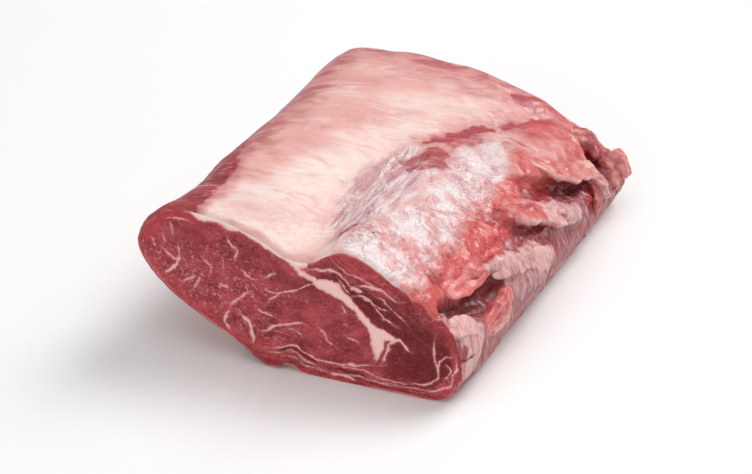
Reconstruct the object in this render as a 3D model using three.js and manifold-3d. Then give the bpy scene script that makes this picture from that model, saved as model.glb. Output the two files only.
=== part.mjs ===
// Raw boneless beef ribeye: a length of the whole rib muscle between two knife cuts, with its
// fat cap on top, a ragged side where the rib meat was trimmed off, and a flat side to lie on.
// Millimetres, +Z up. The loin runs along Y and the near cut faces -Y. The origin is the middle
// of the bounding box, on the surface that the meat lies on.

import * as THREE from "three";
import Module from "manifold-3d";

// Driving dimensions
const LENGTH = 238; // from cut to cut, along the loin
const CUT_SLANT = THREE.MathUtils.degToRad(8); // both cuts are a little off square
const ORIGIN_SHIFT = { x: -2.6, y: 0.3 }; // brings the middle of the bounding box to the origin
const NEAR_RIM_RADIUS = 3; // the near cut is fresh and its rim is crisp
const FAR_RIM_RADIUS = 12; // the fat rolls over the far cut
const RIM_FULL_HEIGHT = 45; // the rims are fully round this high above the table
const RIM_SHARE_AT_TABLE = 0.25; // and a quarter as round on it
const CUT_BULGE = 2.5; // cut muscle swells a little out of its rim

// The outline of a section, seen from the near end: [across, up]. The first point is the tip on
// the trimmed side. The next six run over the top to the tip on the other side, and the last six
// run back under the meat, so that point k lies above point 14 - k.
const NEAR_SECTION = [
  [99, 33], // tip, trimmed side
  [88, 56], // shoulder of the cap muscle
  [63, 77], // slope of the cap muscle
  [30, 95], // crest of the cap muscle
  [-2, 86], // dip between cap and eye
  [-46, 100], // crest of the eye muscle
  [-83, 101], // far shoulder
  [-102, 73], // tip, smooth side
  [-86, 43], // belly, clear of the table
  [-54, 20],
  [-22, 0], // here the meat meets the table
  [30, 0],
  [79, 0],
  [96, 12], // heel, trimmed side
];
const MIDDLE_SECTION = [
  [100, 30],
  [90, 51],
  [64, 71],
  [30, 85],
  [-4, 90],
  [-46, 98],
  [-77, 89],
  [-92, 64],
  [-84, 36],
  [-58, 13],
  [-20, 0],
  [30, 0],
  [79, 0],
  [96, 10],
];
const FAR_SECTION = [
  [96, 20],
  [84, 39],
  [58, 58],
  [26, 72],
  [-10, 81],
  [-48, 85],
  [-85, 82],
  [-98, 58],
  [-88, 32],
  [-58, 11],
  [-20, 0],
  [30, 0],
  [70, 0],
  [92, 6],
];
const SPANS = NEAR_SECTION.length;

// Mesh density: steps in each span from one tip over the top to the other, and the same below
const SPAN_STEPS = [7, 7, 6, 4, 4, 4, 4];
const LENGTH_STEPS = 44;
const NEAR_RIM_STEPS = 2;
const FAR_RIM_STEPS = 3;
const CUT_ROWS = 7;

// Relief on the skin: folds, ledges and crevices, each along a path of places. A place is
// [span, share of the length], where span counts the section's points from the trimmed side's
// tip. A positive height stands out and a negative one is a crevice. left and right are its
// widths on either hand, seen from outside and going along the path, so an edge with one small
// width is a ledge.
const FOLDS = [
  { path: [[4.0, 0], [3.95, 0.27], [3.7, 0.5]], height: -3, left: 14, right: 14 }, // valley by the cap
  { path: [[3.56, 0.57], [3.08, 0.7], [2.3, 0.9]], height: -2, left: 8, right: 8 }, // bare streak
  { path: [[6.4, 0.09], [6.4, 0.16]], height: -3, left: 18, right: 18, end: 20 }, // waist behind the rim
  { path: [[2.0, 0.6], [1.63, 0.69], [1.24, 0.78], [1.15, 0.85]], height: 6, left: 26, right: 9 }, // shelf
  { path: [[1.55, 0.63], [1.2, 0.7], [0.95, 0.77], [0.9, 0.84]], height: -7, left: 8, right: 10 }, // under it
  { path: [[1.22, 0.88], [1.0, 0.915]], height: -10, left: 8, right: 8 }, // pit by the far rolls
  { path: [[1.57, 0.44], [1.25, 0.54], [0.85, 0.63], [0.5, 0.69]], height: 6, left: 9, right: 9 }, // long flap
  { path: [[1.0, 0.42], [0.7, 0.52], [0.4, 0.6]], height: -5, left: 9, right: 10 }, // meat under it
  { path: [[1.22, 0.2], [1.0, 0.34], [0.77, 0.41], [0.5, 0.48]], height: 5, left: 9, right: 22 }, // broad flap
  { path: [[0.0, 0.34], [0.33, 0.43], [0.5, 0.48]], height: 3, left: 18, right: 8 }, // its far edge
  { path: [[1.05, 0.06], [0.7, 0.11], [0.64, 0.22]], height: -9, left: 9, right: 9 }, // pocket
  { path: [[1.0, 0], [0.75, 0.05], [0.4, 0.09]], height: 3, left: 8, right: 16 }, // near flap
  { path: [[0.15, 0.83], [0.5, 0.865], [0.85, 0.9]], height: -6, left: 7, right: 7 }, // groove by far rolls
  { path: [[0.9, 0.83], [0.5, 0.8], [0.0, 0.74]], height: 3, left: 9, right: 9 }, // panel before it
  { path: [[13.1, 0.02], [13.17, 0.3], [13.3, 0.74]], height: -2, left: 6, right: 6 }, // crease at the foot
  { path: [[10.3, 0], [10.2, 0.1]], height: -4, left: 7, right: 7 }, // step over the thin rib layer
];
const FOLD_END = 7; // how far a fold runs out past the ends of its path
const FOLD_SAMPLES = 10;

// Loose lobes, fused to the trimmed side along a path of places. droop is how far the lower
// edge stands further out than the upper one.
const LOBES = [
  { path: [[-0.1, 0.08], [0.1, 0.16], [0.5, 0.25]], width: 18, thickness: 12, droop: 3 }, // tongue
  { path: [[1.7, 0.93], [1.3, 0.945], [0.95, 0.95]], width: 20, thickness: 13, droop: 2 }, // far top roll
  { path: [[0.85, 0.955], [0.4, 0.94], [-0.15, 0.92]], width: 18, thickness: 12, droop: 1 }, // far side roll
  { path: [[0.75, 0.9], [0.35, 0.875], [0.0, 0.85]], width: 10, thickness: 9, droop: 0 }, // strip beside it
];
const LOBE_STEPS = { around: 12, along: 10 };

const MEAT = new THREE.MeshStandardMaterial({ color: 0xb8545a, roughness: 0.45, metalness: 0 });

// The bare form ---------------------------------------------------------------------------

const SECTION_CURVES = [NEAR_SECTION, MIDDLE_SECTION, FAR_SECTION].map((section) => {
  const corners = section.map(([across, up]) => new THREE.Vector3(across, 0, up));
  return new THREE.CatmullRomCurve3(corners, true, "catmullrom", 0.5);
});

// A point of the bare form in its section's plane: a parabola through the three sections.
function sectionPoint(span, share) {
  const turn = THREE.MathUtils.euclideanModulo(span, SPANS) / SPANS;
  const weights = [(1 - share) * (1 - 2 * share), 4 * share * (1 - share), share * (2 * share - 1)];
  const flat = new THREE.Vector2();
  SECTION_CURVES.forEach((curve, k) => {
    const { x, z } = curve.getPoint(turn);
    flat.x += weights[k] * x;
    flat.y += weights[k] * z;
  });
  flat.y = Math.max(flat.y, 0); // it lies on the table
  return flat;
}

// The way out of the meat, in the section's plane.
function outward(span, share) {
  const step = 0.05;
  const along = sectionPoint(span + step, share).sub(sectionPoint(span - step, share));
  return new THREE.Vector2(along.y, -along.x).normalize();
}

// A direction in a section's plane, in the part's frame.
function turned(out) {
  return new THREE.Vector3(out.x * Math.cos(CUT_SLANT), out.x * Math.sin(CUT_SLANT), out.y);
}

// From a section's plane to the part's frame.
function placed(flat, share) {
  return new THREE.Vector3(
    flat.x * Math.cos(CUT_SLANT) + ORIGIN_SHIFT.x,
    (share - 0.5) * LENGTH + flat.x * Math.sin(CUT_SLANT) + ORIGIN_SHIFT.y,
    Math.max(flat.y, 0),
  );
}

// The skin with its folds -------------------------------------------------------------------

const samplePath = (path) =>
  new THREE.SplineCurve(path.map((place) => new THREE.Vector2(...place))).getPoints(FOLD_SAMPLES);

const FOLD_LINES = FOLDS.map(({ path, ...fold }) => {
  const points = samplePath(path).map(({ x: span, y: share }) => placed(sectionPoint(span, share), share));
  return { ...fold, lines: points.slice(1).map((point, k) => new THREE.Line3(points[k], point)) };
});

// How far the folds lift the skin at a point of the bare form whose outward direction is given.
function foldLift(point, away) {
  const nearest = new THREE.Vector3();
  const ahead = new THREE.Vector3();
  const offset = new THREE.Vector3();
  const distanceTo = (line) => point.distanceTo(line.closestPointToPoint(point, true, nearest));
  let total = 0;
  for (const { lines, height, left, right, end = FOLD_END } of FOLD_LINES) {
    const line = lines.reduce((a, b) => (distanceTo(b) < distanceTo(a) ? b : a));
    line.closestPointToPoint(point, true, nearest);
    offset.copy(point).sub(nearest);
    line.delta(ahead).normalize();
    const beyond = offset.dot(ahead);
    const across = Math.sqrt(Math.max(offset.lengthSq() - beyond ** 2, 0));
    const width = offset.dot(ahead.cross(away)) > 0 ? right : left;
    total += height * Math.exp(-((across / width) ** 3) - (beyond / end) ** 2);
  }
  return total;
}

// A point of the skin. inset pulls it in where a rim rounds over, less so near the table.
function skinPoint(span, share, inset = 0) {
  const flat = sectionPoint(span, share);
  const out = outward(span, share);
  const height = THREE.MathUtils.smoothstep(flat.y, 0, RIM_FULL_HEIGHT);
  const rounding = inset * THREE.MathUtils.lerp(RIM_SHARE_AT_TABLE, 1, height);
  const lift = foldLift(placed(flat, share), turned(out)) - rounding;
  return placed(flat.addScaledVector(out, lift), share);
}

// Rings along the meat, from the near cut to the far one, with quarter-round rims.
function ringPlaces() {
  const rim = (radius, steps, share) =>
    Array.from({ length: steps }, (_, k) => {
      const angle = ((k + 1) / steps) * (Math.PI / 2);
      return { share: share(radius * (1 - Math.sin(angle))), inset: radius * (1 - Math.cos(angle)) };
    });
  const near = rim(NEAR_RIM_RADIUS, NEAR_RIM_STEPS, (fromCut) => fromCut / LENGTH);
  const far = rim(FAR_RIM_RADIUS, FAR_RIM_STEPS, (fromCut) => 1 - fromCut / LENGTH);
  const body = Array.from({ length: LENGTH_STEPS + 1 }, (_, k) => ({
    share: THREE.MathUtils.lerp(NEAR_RIM_RADIUS, LENGTH - FAR_RIM_RADIUS, k / LENGTH_STEPS) / LENGTH,
    inset: 0,
  }));
  return [...near.reverse(), ...body, ...far];
}

// Places round a section, tip to tip over the top, then back below in the same steps.
function columnPlaces() {
  const over = SPAN_STEPS.flatMap((steps, span) =>
    Array.from({ length: steps }, (_, k) => span + k / steps));
  const under = over.slice(1).reverse().map((span) => SPANS - span);
  return [...over, SPANS / 2, ...under];
}

// The block ------------------------------------------------------------------------------------

// Rings of skin, closed at each end by a cut face: rows of points between the top and the
// bottom point of each column, which swell out a little.
function buildBlock() {
  const vertices = [];
  const triangles = [];
  const addVertex = (point) => vertices.push(point) - 1;
  const columns = columnPlaces();
  const count = columns.length;

  const rings = ringPlaces().map(({ share, inset }) =>
    columns.map((span) => addVertex(skinPoint(span, share, inset))));
  for (let j = 0; j + 1 < rings.length; j++) {
    for (let i = 0; i < count; i++) {
      const next = (i + 1) % count;
      const [a, b, c, d] = [rings[j][i], rings[j + 1][i], rings[j + 1][next], rings[j][next]];
      triangles.push([a, b, c], [a, c, d]);
    }
  }

  const addCut = (ring, bulge, flip) => {
    const tip = count / 2;
    const rows = Array.from({ length: tip + 1 }, (_, i) => {
      const top = vertices[ring[i]];
      const bottom = vertices[ring[(count - i) % count]];
      if (i === 0 || i === tip) return Array(CUT_ROWS + 1).fill(ring[i]);
      return Array.from({ length: CUT_ROWS + 1 }, (_, row) => {
        if (row === 0) return ring[i];
        if (row === CUT_ROWS) return ring[count - i];
        const down = row / CUT_ROWS;
        const point = top.clone().lerp(bottom, down);
        point.y += bulge * Math.sqrt(Math.sin(Math.PI * down) * Math.sin((Math.PI * i) / tip));
        return addVertex(point);
      });
    });
    for (let i = 0; i < tip; i++) {
      for (let row = 0; row < CUT_ROWS; row++) {
        const quad = [rows[i][row], rows[i + 1][row], rows[i + 1][row + 1], rows[i][row + 1]];
        if (flip) quad.reverse();
        const [a, b, c, d] = quad;
        triangles.push([a, b, c], [a, c, d]);
      }
    }
  };
  addCut(rings[0], -CUT_BULGE, false);
  addCut(rings[rings.length - 1], CUT_BULGE, true);
  return { vertices, triangles: triangles.filter((corners) => new Set(corners).size === 3) };
}

// A lobe: a flattened tube along the skin that tapers to a round end at both ends.
function buildLobe({ path, width, thickness, droop }) {
  const { around, along } = LOBE_STEPS;
  const curve = new THREE.SplineCurve(path.map((place) => new THREE.Vector2(...place)));
  const place = (t) => {
    const { x: span, y: share } = curve.getPoint(THREE.MathUtils.clamp(t, 0, 1));
    return { middle: skinPoint(span, share), away: turned(outward(span, share)) };
  };
  const vertices = [place(0).middle];
  for (let j = 1; j < along; j++) {
    const t = j / along;
    const { middle, away } = place(t);
    const ahead = place(t + 0.05).middle.sub(place(t - 0.05).middle).normalize();
    const side = new THREE.Vector3().crossVectors(ahead, away).normalize();
    const girth = (1 - Math.abs(2 * t - 1) ** 3) ** 0.5;
    for (let i = 0; i < around; i++) {
      const angle = (2 * Math.PI * i) / around;
      const across = girth * Math.cos(angle);
      const lift = 0.5 * (thickness * girth * Math.sin(angle) + droop * across);
      vertices.push(middle.clone().addScaledVector(side, 0.5 * width * across).addScaledVector(away, lift));
    }
  }
  const end = vertices.push(place(1).middle) - 1;
  const corner = (j, i) => 1 + (j - 1) * around + (i % around);
  const triangles = [];
  for (let i = 0; i < around; i++) {
    triangles.push([0, corner(1, i), corner(1, i + 1)]);
    triangles.push([end, corner(along - 1, i + 1), corner(along - 1, i)]);
    for (let j = 1; j + 1 < along; j++) {
      const [a, b, c, d] = [corner(j, i), corner(j + 1, i), corner(j + 1, i + 1), corner(j, i + 1)];
      triangles.push([a, b, c], [a, c, d]);
    }
  }
  return { vertices, triangles };
}

// One solid --------------------------------------------------------------------------------------

const wasm = await Module();
wasm.setup();

function toSolid({ vertices, triangles }) {
  return new wasm.Manifold(new wasm.Mesh({
    numProp: 3,
    vertProperties: new Float32Array(vertices.flatMap((point) => point.toArray())),
    triVerts: new Uint32Array(triangles.flat()),
  }));
}

function toGeometry(solid) {
  const { vertProperties, triVerts } = solid.getMesh();
  const geometry = new THREE.BufferGeometry();
  geometry.setAttribute("position", new THREE.BufferAttribute(new Float32Array(vertProperties), 3));
  geometry.setIndex(new THREE.BufferAttribute(new Uint32Array(triVerts), 1));
  geometry.computeVertexNormals();
  return geometry;
}

// The block with its lobes. Fusing can seal a small hollow under a lobe, which is filled: the
// outer skin is the largest of the closed surfaces.
function fuseMeat() {
  const lobes = LOBES.map(buildLobe).map(toSolid);
  const meat = lobes.reduce((sum, lobe) => sum.add(lobe), toSolid(buildBlock()));
  return meat.decompose().reduce((a, b) => (b.volume() > a.volume() ? b : a));
}

const ribeye = new THREE.Mesh(toGeometry(fuseMeat()), MEAT);
ribeye.name = "ribeye";

const part = new THREE.Group();
part.add(ribeye);
export default part;
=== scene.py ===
import math

import bpy
import numpy as np
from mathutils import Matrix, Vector, noise


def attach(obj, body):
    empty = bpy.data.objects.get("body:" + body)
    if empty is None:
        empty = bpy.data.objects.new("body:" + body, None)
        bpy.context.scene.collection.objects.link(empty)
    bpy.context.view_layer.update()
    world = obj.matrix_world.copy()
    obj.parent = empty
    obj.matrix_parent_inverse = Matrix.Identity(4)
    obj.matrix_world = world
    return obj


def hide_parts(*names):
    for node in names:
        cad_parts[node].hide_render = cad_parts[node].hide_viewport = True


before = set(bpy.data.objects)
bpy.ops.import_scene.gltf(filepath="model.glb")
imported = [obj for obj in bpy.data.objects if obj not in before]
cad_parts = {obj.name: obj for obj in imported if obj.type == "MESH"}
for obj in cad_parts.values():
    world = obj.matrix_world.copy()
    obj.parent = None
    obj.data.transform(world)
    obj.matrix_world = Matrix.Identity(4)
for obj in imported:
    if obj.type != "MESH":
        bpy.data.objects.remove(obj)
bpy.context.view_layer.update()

# The skin of the joint ----------------------------------------------------------------------
# A length of boneless rib muscle between two knife cuts, lying on its flat side. Fat covers the
# eye muscle, silverskin the cap muscle beside it, and the low side is ragged where the rib meat
# was trimmed off. A loft through three sections in slanted planes, in millimetres.
MM = 0.001
LENGTH = 238  # from cut to cut, along the loin
CUT_SLANT = math.radians(8)
SLANT = np.array([math.cos(CUT_SLANT), math.sin(CUT_SLANT)])
ORIGIN_SHIFT = np.array([-2.6, 0.3])
NEAR_RIM = 3
FAR_RIM = 12
RIM_FULL_HEIGHT = 45
RIM_SHARE_AT_TABLE = 0.25

# Outlines as [across, up], from the tip on the trimmed side over the top and back underneath
NEAR_SECTION = [
    [99, 33], [88, 56], [63, 77], [30, 95], [-2, 86], [-46, 100], [-83, 101],
    [-102, 73], [-86, 43], [-54, 20], [-22, 0], [30, 0], [79, 0], [96, 12],
]
MIDDLE_SECTION = [
    [100, 30], [90, 51], [64, 71], [30, 85], [-4, 90], [-46, 98], [-77, 89],
    [-92, 64], [-84, 36], [-58, 13], [-20, 0], [30, 0], [79, 0], [96, 10],
]
FAR_SECTION = [
    [96, 20], [84, 39], [58, 58], [26, 72], [-10, 81], [-48, 85], [-85, 82],
    [-98, 58], [-88, 32], [-58, 11], [-20, 0], [30, 0], [70, 0], [92, 6],
]
SPANS = len(NEAR_SECTION)
SPAN_STEP = 0.05  # over which an outline's direction is taken


def smooth_curve(points, at, closed=False):
    """Points of the smooth curve through some corners, where at counts the corners."""
    corners = np.asarray(points, float)
    last = len(corners) - 1
    first = np.floor(at).astype(int)
    if not closed:
        first = np.clip(first, 0, last - 1)
    t = (at - first)[..., None]
    around = [first + k for k in (-1, 0, 1, 2)]
    if closed:
        a, b, c, d = (corners[k % len(corners)] for k in around)
    else:
        a, b, c, d = (corners[np.clip(k, 0, last)] for k in around)
    bend = (2 * a - 5 * b + 4 * c - d) * t**2 + (3 * b - a - 3 * c + d) * t**3
    return 0.5 * (2 * b + (c - a) * t + bend)


def section_point(span, share):
    """The bare form in its section's plane, at a share of the length from the near cut."""
    sections = (NEAR_SECTION, MIDDLE_SECTION, FAR_SECTION)
    near, middle, far = (smooth_curve(s, span, closed=True) for s in sections)
    v = share[..., None]
    flat = near * (1 - v) * (1 - 2 * v) + middle * 4 * v * (1 - v) + far * v * (2 * v - 1)
    flat[..., 1] = np.maximum(flat[..., 1], 0)
    return flat


def section_outward(span, share):
    along = section_point(span + SPAN_STEP, share) - section_point(span - SPAN_STEP, share)
    out = np.stack([along[..., 1], -along[..., 0]], -1)
    return out / np.linalg.norm(out, axis=-1, keepdims=True)


def turned(flat):
    """A direction in a section's plane, in the part's frame."""
    return np.stack([flat[..., 0] * SLANT[0], flat[..., 0] * SLANT[1], flat[..., 1]], -1)


def placed(flat, share):
    """A point in a section's plane, in the part's frame. Nothing goes below the table."""
    x, y = (flat[..., :1] * SLANT + ORIGIN_SHIFT).T
    return np.stack([x.T, y.T + (share - 0.5) * LENGTH, np.maximum(flat[..., 1], 0)], -1)


def smooth_step(low, high, value):
    t = np.clip((value - low) / (high - low), 0, 1)
    return t * t * (3 - 2 * t)


OCTAVE_FALL, OCTAVE_STEP = 0.8, 2.1  # how each octave of noise is fainter and finer


def lumps(points, size, octaves=3, seed=0.0):
    """Smooth noise of about -1 to 1. size is one width in mm, or one for each axis."""
    scaled = points / np.asarray(size, float) + seed
    return np.array([noise.fractal(p, OCTAVE_FALL, OCTAVE_STEP, octaves) for p in scaled.tolist()])


def nearest_on(line, points, reach):
    """For each point: the offset from the nearest place on a line, and the line's direction.
    Points that are further than reach from the line's box count as far away."""
    near = ((points > line.min(0) - reach) & (points < line.max(0) + reach)).all(1)
    close = points[near]
    best = np.full(len(close), np.inf)
    offset = np.zeros_like(close)
    ahead = np.zeros_like(close)
    for start, end in zip(line[:-1], line[1:]):
        run = end - start
        t = np.clip((close - start) @ run / (run @ run), 0, 1)
        gap = close - start - t[:, None] * run
        square = (gap**2).sum(1)
        closer = square < best
        best[closer] = square[closer]
        offset[closer] = gap[closer]
        ahead[closer] = run / np.linalg.norm(run)
    offsets = np.full_like(points, 10 * LENGTH)
    directions = np.tile([0.0, 1.0, 0.0], (len(points), 1))
    offsets[near] = offset
    directions[near] = ahead
    return offsets, directions


def skin_curve(path, at):
    """Spans and shares along a smooth path of places, where at counts the places."""
    return smooth_curve(np.array(path) / (1, 100), at).T


def skin_line(path, samples=10):
    """A smooth path of places on the bare form, as points."""
    span, share = skin_curve(path, np.linspace(0, len(path) - 1, samples))
    return placed(section_point(span, share), share)


# Folds, ledges and crevices, as (height, width on the left, width on the right, fade at the
# ends, curl, path), all in mm. Left and right are as one goes along the path, and curl is how far
# a ledge's edge hangs over its right side. A place is a span of the outline and a share of the
# length from the near cut, in percent.
FOLDS = [
    (-3, 14, 14, 7, 0, (4, 0), (3.95, 27), (3.7, 50)),  # valley
    (-2, 6, 6, 7, 0, (3.56, 57), (3.08, 70), (2.3, 90)),  # streak
    (-3, 18, 18, 20, 0, (6.4, 9), (6.4, 16)),  # waist
    (7, 26, 6, 7, 5, (2, 60), (1.63, 69), (1.24, 78), (1.15, 85)),  # shelf of the cap muscle
    (-6, 7, 9, 7, 0, (1.55, 63), (1.2, 70), (0.95, 77), (0.9, 84)),  # hollow under the shelf
    (-10, 7, 7, 7, 0, (1.22, 88), (1, 91.5)),  # pit
    (7, 8, 6, 7, 3, (1.6, 43), (1.28, 52), (0.88, 60), (0.6, 65)),  # long flap
    (-1.5, 8, 9, 7, 0, (1, 42), (0.7, 52), (0.4, 60)),
    (5, 5, 20, 7, -2, (1.15, 20), (0.93, 31), (0.7, 38), (0.45, 46)),  # broad flap
    (3, 18, 5, 7, 0, (0, 34), (0.33, 43), (0.5, 48)),
    (-10, 8, 8, 7, 0, (1.12, 5), (0.93, 10), (0.8, 16), (0.72, 23)),  # pocket over the tongue
    (3, 5, 16, 7, 0, (1, 0), (0.75, 5), (0.4, 9)),
    (-6, 5, 5, 7, 0, (0.15, 83), (0.5, 86.5), (0.85, 90)),
    (3, 8, 8, 7, 0, (0.9, 83), (0.5, 80), (0, 74)),
    (-2, 4, 4, 7, 0, (13.1, 2), (13.17, 30), (13.3, 74)),
    (-4, 6, 6, 7, 0, (10.3, 0), (10.2, 10)),  # thin rib layer
    (2, 22, 22, 25, 0, (6, 30), (6.1, 55), (6, 80)),
    (2, 14, 14, 12, 0, (3.8, 98), (3.2, 97), (2.5, 98)),
    (-2.5, 12, 12, 12, 0, (6.1, 97), (5.3, 98)),
    (-3, 10, 10, 10, 0, (9.4, 0), (9.8, 3)),
    (4, 10, 10, 8, 0, (0.65, 98.5), (0.15, 97.5)),
]

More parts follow.
